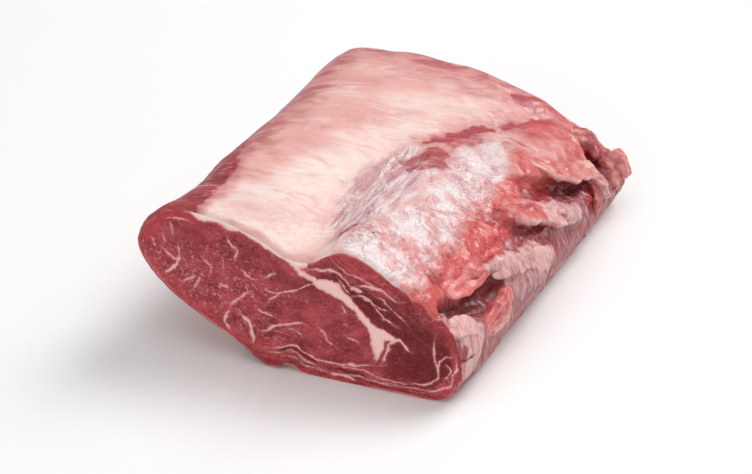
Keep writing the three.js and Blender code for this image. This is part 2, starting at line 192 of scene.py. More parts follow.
# What covers the meat, painted in strokes: (half width in mm, strength, path)
STROKES = {
    "cream": [  # the thickest fat
        (15, 1, (4.8, 1), (4.4, 4), (4.1, 10)), (16, 1, (4.7, 8), (4.6, 18), (4.45, 30), (4.3, 40)),
        (10, 0.9, (5.15, 3), (5, 12), (4.9, 22)), (14, 0.75, (4.25, 38), (4.15, 50), (3.95, 62)),
        (12, 0.7, (4.3, 69), (3.88, 72), (3.43, 75), (2.81, 77)), (8, 0.6, (3.7, 2), (3.4, 3), (3.2, 6)),
    ],
    "pink": [  # thin fat, with the meat showing through
        (6, 0.8, (5.42, 1), (5.4, 12), (5.48, 24), (5.66, 34)),
        (10, 0.8, (5.25, 20), (5.4, 42), (5.5, 57), (5.75, 75), (5.9, 95)),
        (16, 0.3, (4.8, 58), (4.6, 69), (4.34, 83)),
        (13, 0.8, (5.3, 95), (4.05, 93), (3.46, 91), (2.76, 91), (2.27, 95)),
        # Along the far rim this pink is partly thin fat and partly painted shade
        (9, 1, (6.5, 100), (5.5, 100), (4, 100), (2.5, 100), (1.5, 100)),
        (2, 0.8, (4.9, 0), (4.42, 0), (4.1, 0.3), (3.9, 0)),
        (1.5, 0.5, (4.7, 12), (4.45, 16), (4.2, 16), (4.02, 15), (3.95, 10)),
        (9, 0.8, (2.5, 1), (1.94, 3), (1.68, 4), (1.32, 1)),
        (15, 1, (1.95, 60), (2.05, 70), (1.95, 82), (1.9, 95)),
    ],
    "membrane": [  # thin mauve skin over the dip between the muscles
        (8, 0.8, (3.35, 5), (3.6, 12), (3.78, 20), (3.88, 33), (3.77, 43), (3.55, 50)),
        (13, 0.9, (3.2, 12), (3.42, 24), (3.5, 36), (3.35, 46)),
        (9, 0.8, (3.05, 17), (3.09, 29), (3.17, 42)), (9, 0.5, (2.9, 30), (2.7, 42), (2.6, 56)),
        (7, 0.6, (2.9, 56), (2.6, 64), (2.4, 66)), (5, 0.6, (2.95, 5), (2.85, 12)),
    ],
    "silver": [  # crinkled silverskin
        (14, 1, (2.85, 5), (2.68, 15), (2.45, 23), (2.38, 39), (2.35, 54)),
        (13, 0.9, (2.5, 3), (2.2, 7), (2.05, 18), (2.07, 36), (2.15, 50)),
        (9, 0.6, (2.9, 40), (2.74, 50), (2.5, 62)),
    ],
    "trim": [  # where the knife opened the side
        (22, 1, (1.3, -2), (1.3, 30), (1.33, 55)), (16, 1, (1.25, 58), (1.1, 75), (1.2, 88), (1.3, 102)),
    ],
    "salmon": [  # bright thin meat and stained fat
        (9, 1, (1.45, 3), (1.44, 11), (1.53, 19), (1.58, 29), (1.58, 39), (1.65, 50)),
        (10, 0.8, (1.75, 52), (1.98, 64), (2.3, 71)),
        (13, 0.5, (1.75, 60), (1.9, 70), (1.8, 80), (1.7, 88)),
        (6, 0.9, (1.45, 72), (1.3, 80), (1.25, 88)), (9, 0.9, (2.3, 98), (1.77, 97), (1.42, 93)),
        (12, 0.8, (2.25, 78), (2, 84), (1.7, 87)),
        (11, 0.5, (2.3, 5), (2.08, 12), (1.98, 22), (1.96, 33), (2.05, 47)),
    ],
    "wall": [  # the knife's streaky wall of the trimmed side
        (20, 1, (13.3, -2), (13.3, 102)), (19, 1, (0.05, -2), (0.15, 102)),
        (15, 0.9, (0.6, 28), (0.75, 50), (0.6, 80)), (9, 0.9, (0.6, 0), (0.7, 10)),
        (8, 0.9, (1.1, 6), (0.9, 12), (0.8, 20)),
    ],
    "lean": [  # bare dark meat
        (13, 1, (5.8, 2), (5.8, 10), (5.93, 20), (6.08, 26)),
        (9, 0.65, (6.15, 30), (6.25, 45), (6.35, 60)), (16, 1, (6.5, 0), (6.5, 20), (6.5, 36)),
        (12, 1, (7.2, 2), (8, 2), (9, 2), (10, 2)), (6, 0.6, (6.15, 36), (6.3, 50), (6.5, 65), (6.6, 82)),
        (2.5, 0.6, (3.52, 8), (3.36, 13)),
        (7, 0.55, (1.6, 41), (1.4, 41), (1.1, 43), (0.82, 49), (0.62, 54)),
        (8, 0.9, (0.95, 83), (0.58, 81), (0.3, 76)), (6, 0.6, (1.6, 56), (1.42, 59), (1.2, 62)),
        (6, 0.7, (1.3, 68), (1.05, 74)), (12, 0.35, (0.9, 96), (0.4, 97), (0, 97)),
        (14, 0.7, (8, 10), (8.6, 50), (8.2, 90)), (20, 0.8, (10, 10), (10.6, 50), (10, 90)),
        (15, 0.7, (12, 20), (11.6, 50), (12, 80)),
    ],
    "streak": [  # red meat that shows where the fat has split
        (2.2, 0.8, (3.52, 56), (3.4, 57.8)), (4.6, 1, (3.4, 58), (3.22, 62), (3.02, 67.2), (2.87, 73.5)),
        (4.4, 1, (2.68, 78.5), (2.5, 83), (2.34, 86.2), (2.1, 89)),
        (3.2, 0.9, (2.2, 88.5), (1.95, 90), (1.7, 90)),
        (3.2, 0.8, (2.9, 92), (2.66, 95), (2.35, 96.8), (2.05, 97.2)),
        (5.2, 0.66, (3.52, 46.5), (3.36, 49), (3.18, 52.5)),
        (5.4, 0.66, (3.36, 42.5), (3.18, 45.5), (3.02, 49)), (4.5, 0.55, (3.12, 58), (2.85, 64)),
        (2.2, 0.6, (3.5, 9), (3.36, 13)),
    ],
    "stain": [  # thin fat and film over red meat
        (7, 0.8, (5.5, 2), (5.48, 10), (5.56, 20), (5.76, 30), (5.9, 40)),
        (16, 1, (5.98, 38), (6.02, 55), (6.03, 75), (6, 95)),
        (9, 0.9, (3.5, 56), (3.28, 60), (3.02, 67), (2.84, 75)),
        (9, 0.9, (2.7, 78.5), (2.5, 83), (2.34, 86), (2.04, 90), (1.75, 90.5)),
        (10, 0.9, (3.36, 45), (3.1, 50), (2.9, 53)), (9, 0.7, (3.1, 57), (2.8, 64)),
        (14, 1, (3.2, 95), (2.8, 95), (2.45, 97), (2.05, 98)),
        (16, 1, (5.7, 96), (5.2, 96.5), (4.2, 97), (3.5, 96)), (12, 0.5, (4.6, 85), (4, 88), (3.4, 88)),
        (5, 0.7, (3.25, 3), (3.45, 10)), (14, 0.9, (6.2, 30), (6.4, 50), (6.7, 80)),
        (14, 0.8, (7.3, 10), (7.4, 50), (7.3, 90)),
    ],
    "pale": [  # tendon, and the fat edges of the flaps
        (6, 0.9, (1.5, 45), (1.25, 53), (1, 59), (0.7, 63)),
        (6, 0.9, (1.05, 22), (0.93, 30), (0.72, 37), (0.48, 44)),
        (13, 0.46, (0.8, 27), (0.5, 36), (0.3, 41)), (9, 0.85, (0.85, 1), (0.5, 5), (0.15, 4), (-0.2, 2)),
        (2.2, 1, (2.55, 71), (2.24, 69), (1.92, 68)), (2, 1, (2.5, 73.5), (2.18, 71.8), (1.92, 71.2)),
        # The small dots in the next five lines are pale knots of fat, partly painted highlights
        (1.2, 1, (3.05, 82), (2.8, 77.5), (2.66, 72)), (2, 0.9, (3.04, 81), (3, 81.5)),
        (2.2, 0.9, (2.86, 84.4), (2.82, 85)), (1.5, 0.9, (2.72, 87.2), (2.67, 88)),
        (2, 0.9, (2.6, 90), (2.53, 90.5)), (1.6, 0.9, (2.56, 93.5), (2.5, 94)),
        (1.8, 0.8, (2.42, 92), (2.36, 93)), (2, 0.9, (2.41, 89), (2.35, 89.3)),
        (1.5, 0.8, (2.28, 91.5), (2.2, 92.2)), (1.4, 0.8, (3.25, 93), (3.08, 93), (2.92, 93.7)),
        (2.5, 0.7, (2.72, 28), (2.33, 32), (1.95, 35)), (2.5, 0.7, (2.91, 40), (2.74, 46), (2.35, 47)),
        (5, 0.8, (1.6, 87), (1.55, 94)), (9, 0.4, (1.95, 67), (1.7, 73), (1.5, 79)),
        (9, 0.6, (7.4, 10), (7.8, 40), (7.5, 80)), (5, 0.7, (9.2, 0), (9.4, 50), (9.2, 100)),
        (6, 0.6, (11.2, 0), (11.1, 40), (11.3, 90)),
    ],
    # Painted shade in the crevices
    "shaded_crevices": [  # crevices
        (3, 0.4, (1.69, 65), (1.48, 69), (1.27, 73), (1.02, 78), (0.97, 83)),
        (7, 0.95, (1.12, 5), (0.93, 10), (0.8, 16), (0.7, 23)), (1.2, 0.9, (0.07, 0), (0, 4)),
        (1.5, 0.7, (13.13, 0), (13.17, 30), (13.3, 74)), (5, 0.9, (1.2, 88.5), (1.1, 91.5)),
        (3, 0.8, (0.92, 93), (0.6, 90), (0.2, 86)), (1, 0.7, (2.93, 10), (2.77, 13)),
        (2, 0.4, (1.35, 50), (1.05, 60), (0.75, 66)),
    ],
}
# How softly each covering fades out, as a share of its half width
SOFTNESS = {
    "stain": 1, "streak": 0.4, "cream": 1, "pink": 1, "membrane": 0.9, "silver": 0.6, "trim": 0.8,
    "salmon": 1, "wall": 0.4, "lean": 0.35, "pale": 0.4, "shaded_crevices": 0.6,
}
WARP, WARP_WIDTH = 5, 17  # how far the strokes' edges wander, and over what width, in mm
NARROW_STROKE = 4  # a stroke narrower than this wanders less
NARROW_WARP = 0.3


def wandered(points):
    """Points moved about, so that what is painted at them gets an uneven edge."""
    drift = np.stack([lumps(points, WARP_WIDTH, 4, seed) for seed in (3.1, 7.7, 12.3)], -1)
    return points + WARP * drift


def paint(points):
    """The strength of each covering at some points of the skin, from 0 to 1."""
    coverings = {}
    moved = wandered(points)
    nearly = points + NARROW_WARP * (moved - points)
    for name, strokes in STROKES.items():
        total = np.zeros(len(points))
        for half_width, strength, *path in strokes:
            inner = (1 - SOFTNESS[name]) * half_width
            outer = (1 + SOFTNESS[name]) * half_width
            where = nearly if half_width < NARROW_STROKE else moved
            offset, _ = nearest_on(skin_line(path), where, outer)
            distance = np.linalg.norm(offset, axis=1)
            total = np.maximum(total, strength * (1 - smooth_step(inner, outer, distance)))
        coverings[name] = total
    return coverings


STREAK_TURN = math.radians(27)  # the fat's streaks run askew over the loin
STREAK_ALONG = np.array([math.cos(STREAK_TURN), math.sin(STREAK_TURN), 0])


def streaks(points, long, wide, seed=0.0):
    """Noise drawn out along the streaks of the fat."""
    along = points @ STREAK_ALONG
    across = points @ np.array([-STREAK_ALONG[1], STREAK_ALONG[0], 0])
    return lumps(np.stack([along, across, points[:, 2]], -1), (long, wide, wide), 3, seed)


FOLD_REACH = 2.0  # a fold fades out within this many of its widths
# Low relief of the coverings: (covering, height in mm, width or widths in mm, octaves, seed)
SWELLS = [("salmon", 0.5, 15, 2, 9), ("lean", 0.5, 9, 3, 11)]
CREASES = [
    ("silver", 1.8, (20, 15, 15), 3, 4), ("silver", 0.5, (6, 4.5, 5), 2, 14),
    ("membrane", 1.1, (7, 22, 9), 2, 6), ("membrane", 0.5, (3.5, 10, 4), 2, 16),
]
TORN, SHREDS = ((17, 38, 18), 2, 1), ((14, 9, 12), 2, 13)  # ridges of the opened side
RIDGE_SLOPE = 2.4
TORN_HEIGHT, SHRED_HEIGHT, TORN_HANG = 2.2, 0.5, 1.5  # mm
SALMON_SMOOTHS = 0.55  # thin meat lies smoother
WAVE_HEIGHT, STREAK_HEIGHT, WALL_HEIGHT = 0.8, 0.15, 0.9  # mm


def relief(points, away, coverings):
    """How the skin moves off the bare form, in mm, as a vector for each point."""
    lift = np.zeros(len(points))
    slide = np.zeros_like(points)
    for height, left, right, end, curl, *path in FOLDS:
        offset, ahead = nearest_on(skin_line(path), points, FOLD_REACH * max(left, right, end))
        beyond = (offset * ahead).sum(1)
        across = np.sqrt(np.maximum((offset**2).sum(1) - beyond**2, 0))
        side = np.cross(ahead, away)
        width = np.where((offset * side).sum(1) > 0, right, left)
        fade = np.exp(-((beyond / end) ** 2))
        lift += height * fade * np.exp(-((across / width) ** 3))
        slide += (curl * fade * np.exp(-((across / right) ** 2)))[:, None] * side
    moved = wandered(points)
    nearly = (points + moved) / 2
    torn, shreds = (1 - RIDGE_SLOPE * np.abs(lumps(nearly, *shape)) for shape in (TORN, SHREDS))
    ragged = coverings["trim"] * (1 - SALMON_SMOOTHS * coverings["salmon"])
    lift += ragged * (TORN_HEIGHT * torn + SHRED_HEIGHT * shreds)
    down = np.cross(away, np.broadcast_to([0.0, 1.0, 0.0], away.shape))
    slide += (TORN_HANG * coverings["trim"] * np.clip(torn, 0, 1) ** 2)[:, None] * down
    lift += WAVE_HEIGHT * lumps(points, 45, 2, 5) + STREAK_HEIGHT * streaks(points, 50, 5, 2)
    for name, height, *shape in SWELLS:
        lift += height * coverings[name] * lumps(points, *shape)
    for name, depth, *shape in CREASES:
        lift -= depth * coverings[name] * np.abs(lumps(moved, *shape))
    lift += WALL_HEIGHT * coverings["wall"] * lumps(moved, (6, 5, 30), 4, 8)
    return lift[:, None] * away + slide


def skin(spans, shares, insets):
    """A grid of skin points, ring by ring, and what covers each."""
    share, span = np.meshgrid(shares, spans, indexing="ij")
    flat = section_point(span, share)
    out = section_outward(span, share)
    height_share = smooth_step(0, RIM_FULL_HEIGHT, flat[..., 1])
    round_share = RIM_SHARE_AT_TABLE + (1 - RIM_SHARE_AT_TABLE) * height_share
    bare = placed(flat, share).reshape(-1, 3)
    away = turned(out).reshape(-1, 3)
    coverings = paint(bare)
    moved = bare + relief(bare, away, coverings)
    moved -= (np.asarray(insets)[:, None] * round_share).reshape(-1, 1) * away
    moved[:, 2] = np.maximum(moved[:, 2], 0)
    return moved.reshape(len(shares), len(spans), 3), coverings


# Columns in each span, closest together on the trimmed side
SPAN_STEPS = [34, 40, 38, 36, 40, 32, 22, 18, 14, 14, 14, 14, 12, 26]
RING_STEP = 1.02  # mm along the loin
NEAR_RIM_RINGS = 4
FAR_RIM_RINGS = 12


def ring_places():
    """Shares of the length and insets of the rings, with quarter-round rims."""
    near = np.linspace(math.pi / 2, 0, NEAR_RIM_RINGS, endpoint=False)
    far = np.linspace(0, math.pi / 2, FAR_RIM_RINGS + 1)[1:]
    count = round((LENGTH - NEAR_RIM - FAR_RIM) / RING_STEP)
    body = np.linspace(NEAR_RIM, LENGTH - FAR_RIM, count) / LENGTH
    shares = [NEAR_RIM * (1 - np.sin(near)) / LENGTH, body, 1 - FAR_RIM * (1 - np.sin(far)) / LENGTH]
    insets = [NEAR_RIM * (1 - np.cos(near)), np.zeros(count), FAR_RIM * (1 - np.cos(far))]
    return np.concatenate(shares), np.concatenate(insets)


def ring_faces(rings, columns):
    """Quads between neighbouring rings of a closed grid."""
    j, i = np.meshgrid(np.arange(rings - 1), np.arange(columns), indexing="ij")
    low = j * columns
    high = low + columns
    following = (i + 1) % columns
    return np.stack([low + i, low + following, high + following, high + i], -1).reshape(-1, 4)


def ring_map(across, up):
    """Places on the map of those quads' corners. across closes the ring, so it has one more."""
    j, i = np.meshgrid(np.arange(len(up) - 1), np.arange(len(across) - 1), indexing="ij")
    corners = ((i, j), (i + 1, j), (i + 1, j + 1), (i, j + 1))
    return np.stack([(across[i], up[j]) for i, j in corners]).transpose(2, 3, 0, 1).reshape(-1, 2)


def add_piece(name, points, faces, uvs, attributes, material, rims):
    """A smooth mesh from points in mm, with sharp edges between the points listed in rims.
    uvs has one pair for each corner of each face."""
    mesh = bpy.data.meshes.new(name)
    mesh.from_pydata((points * MM).tolist(), [], faces)
    mesh.uv_layers.new(name="OFBake").data.foreach_set("uv", np.asarray(uvs, float).ravel())
    for label, values in attributes.items():
        mesh.attributes.new(label, "FLOAT", "POINT").data.foreach_set("value", values)
    mesh.polygons.foreach_set("use_smooth", np.ones(len(faces), bool))
    ends = np.zeros(2 * len(mesh.edges), int)
    mesh.edges.foreach_get("vertices", ends)
    sharp = np.isin(ends.reshape(-1, 2), rims).all(1)
    mesh.attributes.new("sharp_edge", "BOOLEAN", "EDGE").data.foreach_set("value", sharp)
    mesh.materials.append(material)
    piece = bpy.data.objects.new(name, mesh)
    bpy.context.scene.collection.objects.link(piece)
    return piece


OBJECT_OUTPUT = 3  # of a texture coordinate node
FACTOR_OUTPUT = 2  # of an attribute node


class Field:
    """A value or colour made in a shader tree, with the sums that can be done on it."""

    def __init__(self, socket):
        self.socket = socket

    def __add__(self, other):
        return calc("ADD", self, other)

    def __sub__(self, other):
        return calc("SUBTRACT", self, other)

    def __mul__(self, other):
        return calc("MULTIPLY", self, other)

    def __or__(self, other):
        return calc("MAXIMUM", self, other)

    def __abs__(self):
        return calc("ABSOLUTE", self)


def plug(node, sockets):
    """Sets a node's inputs to values, or links them to fields."""
    for key, value in sockets.items():
        if isinstance(value, Field):
            node.id_data.links.new(value.socket, node.inputs[key])
        else:
            node.inputs[key].default_value = value


def put(kind, sockets, tree=None, **settings):
    """Adds a shader node and gives its outputs. Without a tree, it goes where its inputs are."""
    tree = tree or next(v.socket.id_data for v in sockets.values() if isinstance(v, Field))
    made = tree.nodes.new("ShaderNode" + kind)
    for name, value in settings.items():
        setattr(made, name, value)
    plug(made, sockets)
    return [Field(socket) for socket in made.outputs]


def calc(operation, *values):
    return put("Math", dict(enumerate(values)), operation=operation)[0]


def blend(factor, under, over):
    return put("Mix", {0: factor, 6: under, 7: over}, data_type="RGBA")[2]


def level_of(factor, under, over):
    return put("Mix", {0: factor, 2: under, 3: over}, data_type="FLOAT")[0]


def between(value, low, high, to_low=0.0, to_high=1.0):
    """A value's smooth rise from one level to another, as a mask."""
    sockets = {"Value": value, "From Min": low, "From Max": high, "To Min": to_low, "To Max": to_high}
    return put("MapRange", sockets, interpolation_type="SMOOTHSTEP")[0]


def tinted(colour, *tints):
    """A colour with others laid over it: (field, levels it rises between, greatest share, colour)."""
    for field, low, high, share, over in tints:
        colour = blend(between(field, low, high, 0.0, share), colour, over)
    return colour


def noise_at(place, scale=1.0, detail=3.0, distortion=0.0, roughness=0.55):
    sockets = {"Vector": place, "Scale": scale, "Detail": detail}
    return put("TexNoise", sockets | {"Roughness": roughness, "Distortion": distortion})[0]


def stretched(tree, sizes, turn=0.0, tilt=0.0):
    """Object coordinates in which a feature of these sizes, in mm, is one unit across."""
    place = put("TexCoord", {}, tree)[OBJECT_OUTPUT]
    sockets = {"Vector": place, "Rotation": (0, tilt, turn), "Scale": [size * MM for size in sizes]}
    return put("Mapping", sockets, vector_type="TEXTURE")[0]


def cloud(tree, sizes, detail, turn=0.0, tilt=0.0, **more):
    """Noise with features of these sizes in mm."""
    return noise_at(stretched(tree, sizes, turn, tilt), 1.0, detail, **more)


def painted_on(tree, label):
    return put("Attribute", {}, tree, attribute_name=label)[FACTOR_OUTPUT]


def make_group(name, fill, inputs, outputs):
    """A node group. fill takes its named inputs and returns its named outputs."""
    tree = bpy.data.node_groups.new(name, "ShaderNodeTree")
    for label, kind in inputs.items():
        tree.interface.new_socket(label, in_out="INPUT", socket_type="NodeSocket" + kind)
    for label, kind in outputs.items():
        tree.interface.new_socket(label, in_out="OUTPUT", socket_type="NodeSocket" + kind)
    given = tree.nodes.new("NodeGroupInput").outputs
    made = fill(*(Field(given[label]) for label in inputs))
    plug(tree.nodes.new("NodeGroupOutput"), dict(zip(outputs, made)))
    return tree


def torn_edge(mask, place, ragged, blur):
    """Breaks a painted mask's edge into shreds and strands, from a soft blur to a hard tear."""
    shifted = mask + (noise_at(place, 1.0, 5.0) - 0.5) * ragged
    torn = between(shifted, calc("SUBTRACT", 0.5, blur), blur + 0.5)
    return [torn * between(mask, 0.0, 0.2)]


def muscle(place, dark, bright, fat, marbling):
    """Bare meat: fine bundles of fibre, patches of darker red and flecks of fat."""
    patches = noise_at(place, 0.12, 3.0)
    bundles = noise_at(place, 0.8, 5.0, distortion=0.6)
    meat = blend(between(patches * 0.6 + bundles * 0.5, 0.40, 0.70), dark, bright)
    spots = noise_at(place, 0.6, 2.0, distortion=1.6) + noise_at(place, 0.07, 2.0) * 0.4
    flecks = between(spots, 0.80, 0.90) * marbling
    return blend(flecks, meat, fat), bundles + flecks * 0.4


def wrinkles(place, fine):
    """Crinkled film: thin lines where it creases, and the height of the creases."""
    (lines, height), (fine_lines, fine_height) = (
        (between(ridge, 0.0, width, 1.0, 0.0), between(ridge, 0.0, 3 * width))
        for ridge, width in (
            (abs(noise_at(place, 0.5, 3.0, distortion=1.2) - 0.5), 0.035),
            (abs(noise_at(place, 1.25, 3.0, distortion=0.8) - 0.5), 0.05),
        )
    )
    patchy = between(noise_at(place, 0.3, 2.0), 0.35, 0.65)
    return (lines | fine_lines * fine) * patchy, height + fine_height * 0.4


NUMBER, VECTOR, COLOUR = "Float", "Vector", "Color"
SURFACE = {"Color": COLOUR, "Height": NUMBER}
EDGE_INPUTS = {"Mask": NUMBER, "Place": VECTOR, "Ragged": NUMBER, "Blur": NUMBER}
MEAT_INPUTS = {"Place": VECTOR, "Dark": COLOUR, "Bright": COLOUR, "Fat": COLOUR, "Marbling": NUMBER}
TORN_EDGE = make_group("torn edge", torn_edge, EDGE_INPUTS, {"Mask": NUMBER})
MUSCLE = make_group("muscle", muscle, MEAT_INPUTS, SURFACE)
WRINKLES = make_group(
    "wrinkles", wrinkles, {"Place": VECTOR, "Fine": NUMBER}, {"Lines": NUMBER, "Height": NUMBER}
)

# Colours as linear red, green and blue
ROSY_FAT = (0.84, 0.47, 0.42, 1)
CREAM_FAT = (0.93, 0.73, 0.67, 1)
CREAM_BRIGHT_AND_HIGHLIGHT = (0.95, 0.82, 0.78, 1)
PINK_FAT = (0.66, 0.27, 0.26, 1)
MAUVE_FILM = (0.60, 0.31, 0.36, 1)
MAUVE_CREASE_SHADE = (0.34, 0.11, 0.15, 1)
STAIN = (0.48, 0.11, 0.13, 1)
STREAK_RED = (0.56, 0.11, 0.12, 1)
STREAK_DARK = (0.40, 0.05, 0.06, 1)
SILVER_FILM = (0.94, 0.80, 0.80, 1)
SILVER_ROSY = (0.84, 0.46, 0.44, 1)
SILVER_CREASE_SHADE = (0.50, 0.12, 0.13, 1)
SALMON = (0.68, 0.115, 0.11, 1)
SALMON_DARK = (0.44, 0.036, 0.042, 1)
SALMON_PALE = (0.82, 0.29, 0.27, 1)
WALL_FILM = (0.42, 0.17, 0.19, 1)
WALL_DARK = (0.25, 0.045, 0.055, 1)
WALL_PALE = (0.70, 0.42, 0.43, 1)
WALL_BEND_LOW, WALL_BEND_HIGH = 9, 20  # mm above the table; the wall's streaks turn level here
LEAN_DARK_AND_HOLLOW_SHADE = (0.20, 0.014, 0.019, 1)
LEAN_BRIGHT = (0.46, 0.055, 0.065, 1)
TENDON_AND_HIGHLIGHT = (0.84, 0.51, 0.48, 1)
SINEW_SHADE = (0.64, 0.31, 0.31, 1)
CREVICE_SHADE = (0.20, 0.018, 0.022, 1)
MARBLING_FAT = (0.78, 0.40, 0.38, 1)


def covered(tree, label, sizes, ragged, blur, turn=0.0):
    """The mask of one of the painted coverings, with its edge torn."""
    sockets = {"Mask": painted_on(tree, label), "Place": stretched(tree, sizes, turn)}
    return put("Group", sockets | {"Ragged": ragged, "Blur": blur}, node_tree=TORN_EDGE)[0]


def wrinkled(tree, sizes, fine, turn=0.0):
    """The lines and the height of a crinkled film."""
    return put("Group", {"Place": stretched(tree, sizes, turn), "Fine": fine}, node_tree=WRINKLES)


def new_material(name):
    material = bpy.data.materials.new(name)
    material.use_nodes = True
    return material, material.node_tree, material.node_tree.nodes["Principled BSDF"]


def skin_material():
    material, tree, shader = new_material("fat, silverskin and trimmed meat")

    # Fat: rosy where it is thin and cream where it is thick, with streaks over the loin
    broad = cloud(tree, (60, 22, 30), 4.0, STREAK_TURN)
    streaky = cloud(tree, (28, 2.6, 8), 5.0, STREAK_TURN)
    hairs = cloud(tree, (20, 1.1, 4), 3.0, STREAK_TURN)
    mottled = cloud(tree, (16, 9, 12), 5.0, STREAK_TURN, distortion=0.7)
    sparse = between(cloud(tree, (30, 20, 20), 2.0), 0.45, 0.6)
    thick = covered(tree, "cream", (40, 12, 20), 0.7, 0.45, STREAK_TURN)
    colour = tinted(
        blend(thick, ROSY_FAT, CREAM_FAT),
        (broad, 0.45, 0.75, 0.5, PINK_FAT),
        (broad, 0.5, 0.3, 0.5, CREAM_FAT),
        (streaky, 0.5, 0.78, 0.28, PINK_FAT),
        (mottled, 0.53, 0.75, 0.5, PINK_FAT),
        (mottled, 0.48, 0.3, 0.4, CREAM_BRIGHT_AND_HIGHLIGHT),
    )
    colour = blend(between(hairs, 0.57, 0.68, 0.0, 0.7) * sparse, colour, CREAM_BRIGHT_AND_HIGHLIGHT)
    height = streaky * 0.5 + hairs * 0.3 + mottled * 0.6
    veins, _ = wrinkled(tree, (16, 6, 8), 0.5, STREAK_TURN)
    colour = blend(veins * 0.28, colour, PINK_FAT)
    pink = covered(tree, "pink", (24, 5, 9), 0.8, 0.5, STREAK_TURN)
    colour = blend(pink * 0.9, colour, tinted(PINK_FAT, (mottled, 0.35, 0.6, 1.0, ROSY_FAT)))

    # Red meat showing through thin fat
    stain = covered(tree, "stain", (16, 5, 7), 1.1, 0.45, STREAK_TURN)
    colour = blend(stain * 0.85, colour, tinted(STAIN, (mottled, 0.4, 0.62, 1.0, PINK_FAT)))

    # Mauve film, wrinkled along the loin
    film = covered(tree, "membrane", (7, 16, 8), 0.9, 0.45)
    lines, folds = wrinkled(tree, (5, 17, 7), 0.9)
    # Whitish streaks along the loin: partly paler film and partly a painted sheen
    shade = cloud(tree, (5, 26, 7), 5.0, distortion=0.4)
    mauve = tinted(MAUVE_FILM, (shade, 0.4, 0.6, 1.0, SILVER_FILM))
    # Darker lines in the creases: painted shade
    colour = blend(film * 0.85, colour, blend(lines * 0.75, mauve, MAUVE_CREASE_SHADE))
    height = level_of(film, height, folds)

    # Crinkled silverskin over the cap muscle
    silver = covered(tree, "silver", (12, 9, 9), 0.9, 0.35)
    lines, folds = wrinkled(tree, (10, 8, 9), 0.6)
    clouds = cloud(tree, (22, 20, 20), 3.0, distortion=0.8)
    bluish = cloud(tree, (15, 22, 15), 3.0, distortion=0.8)
    white = tinted(
        SILVER_FILM, (clouds, 0.49, 0.63, 1.0, SILVER_ROSY), (bluish, 0.54, 0.66, 0.4, MAUVE_FILM)
    )
    # Darker lines in the creases: painted shade
    colour = blend(silver * 0.9, colour, blend(lines * 0.8, white, SILVER_CREASE_SHADE))
    height = level_of(silver, height, folds)

    # Red meat in the splits
    streak = covered(tree, "streak", (10, 2.6, 4), 0.9, 0.28, STREAK_TURN)
    red = tinted(STREAK_DARK, (streaky, 0.46, 0.68, 1.0, STREAK_RED))
    colour = blend(streak * 0.92, colour, red)

    # The opened side: rough meat of all shades, with threads of tendon
    trim = covered(tree, "trim", (10, 8, 8), 1.1, 0.35)
    flesh = cloud(tree, (17, 10, 12), 4.0, distortion=0.9, roughness=0.5)
    clots = cloud(tree, (12, 16, 12), 4.0, distortion=1.0)
    threads, knots = wrinkled(tree, (20, 8, 12), 0.7)
    rough = tinted(
        LEAN_BRIGHT,
        (flesh, 0.38, 0.52, 1.0, SALMON),
        (flesh, 0.56, 0.7, 0.6, SALMON_PALE),
        (clots, 0.52, 0.62, 0.8, SALMON_DARK),
    )
    colour = blend(trim, colour, blend(threads * 0.3, rough, TENDON_AND_HIGHLIGHT))
    height = level_of(trim, height, flesh * 1.4 + knots * 0.5)

    # Thin meat and stained fat, bright and wet
    salmon = covered(tree, "salmon", (10, 7, 7), 1.2, 0.4)
    bright = tinted(
        SALMON_DARK,
        (flesh, 0.32, 0.47, 1.0, SALMON),
        (flesh, 0.55, 0.72, 0.7, SALMON_PALE),
        (clots, 0.55, 0.68, 0.55, SALMON_DARK),
    )
    colour = blend(salmon * 0.9, colour, blend(threads * 0.18, bright, TENDON_AND_HIGHLIGHT))

    # The knife's wall, drawn out in steep streaks
    wall = covered(tree, "wall", (5, 4, 16), 0.8, 0.2)
    high = put("SeparateXYZ", {0: stretched(tree, (1, 1, 1))})[2]
    level = cloud(tree, (4, 26, 1.8), 5.0)
    steep = cloud(tree, (4, 2, 24), 5.0)
    strands = level_of(between(high, WALL_BEND_LOW, WALL_BEND_HIGH), level, steep)
    streaked = tinted(
        WALL_DARK,
        (strands, 0.4, 0.53, 1.0, WALL_FILM),
        (strands, 0.55, 0.66, 1.0, WALL_PALE),
        (flesh, 0.45, 0.62, 0.55, SALMON_DARK),
    )
    colour = blend(wall * 0.9, colour, streaked)
    height = level_of(wall, height, strands)

    # Bare meat
    lean = covered(tree, "lean", (8, 3, 5), 0.7, 0.22, STREAK_TURN)
    grain = {"Place": stretched(tree, (7, 1.6, 3), STREAK_TURN), "Marbling": 0.8}
    tones = {"Dark": LEAN_DARK_AND_HOLLOW_SHADE, "Bright": LEAN_BRIGHT, "Fat": MARBLING_FAT}
    meat, fibres = put("Group", grain | tones, node_tree=MUSCLE)
    colour = blend(lean * 0.93, colour, meat)
    height = level_of(lean, height, fibres)

    pale = covered(tree, "pale", (4, 3, 4), 0.6, 0.2)
    colour = blend(pale * 0.85, colour, tinted(SINEW_SHADE, (strands, 0.4, 0.56, 1.0, TENDON_AND_HIGHLIGHT)))
    # Painted shade in the crevices
    colour = blend(covered(tree, "shaded_crevices", (3, 3, 8), 0.7, 0.25) * 0.85, colour, CREVICE_SHADE)

